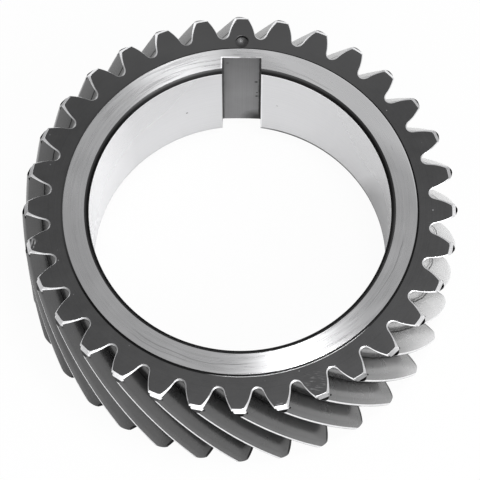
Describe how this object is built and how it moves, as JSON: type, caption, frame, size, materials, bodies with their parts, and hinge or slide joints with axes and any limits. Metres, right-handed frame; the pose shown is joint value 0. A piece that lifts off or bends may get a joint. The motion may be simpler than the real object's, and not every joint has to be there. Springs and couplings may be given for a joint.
{
  "type": "crankshaft gear",
  "caption": "Thick ring gear with left-hand helical teeth, keyed press bore, raised ground ring on the front face and a drilled timing mark.",
  "frame": {"origin": "centre of the bore axis in the plane of the back tooth face, which is the face it rests on", "axes": "+Z along the bore axis towards the marked front face, +Y from the axis towards the middle of the keyway"},
  "size_m": [0.1368, 0.1368, 0.0478],
  "materials": {
    "gear_steel": "dark machined and hardened steel, with bright ground ring, bore and chamfers"
  },
  "bodies": {
    "root": {"crankshaft_gear": "gear_steel"}
  },
  "joints": []
}
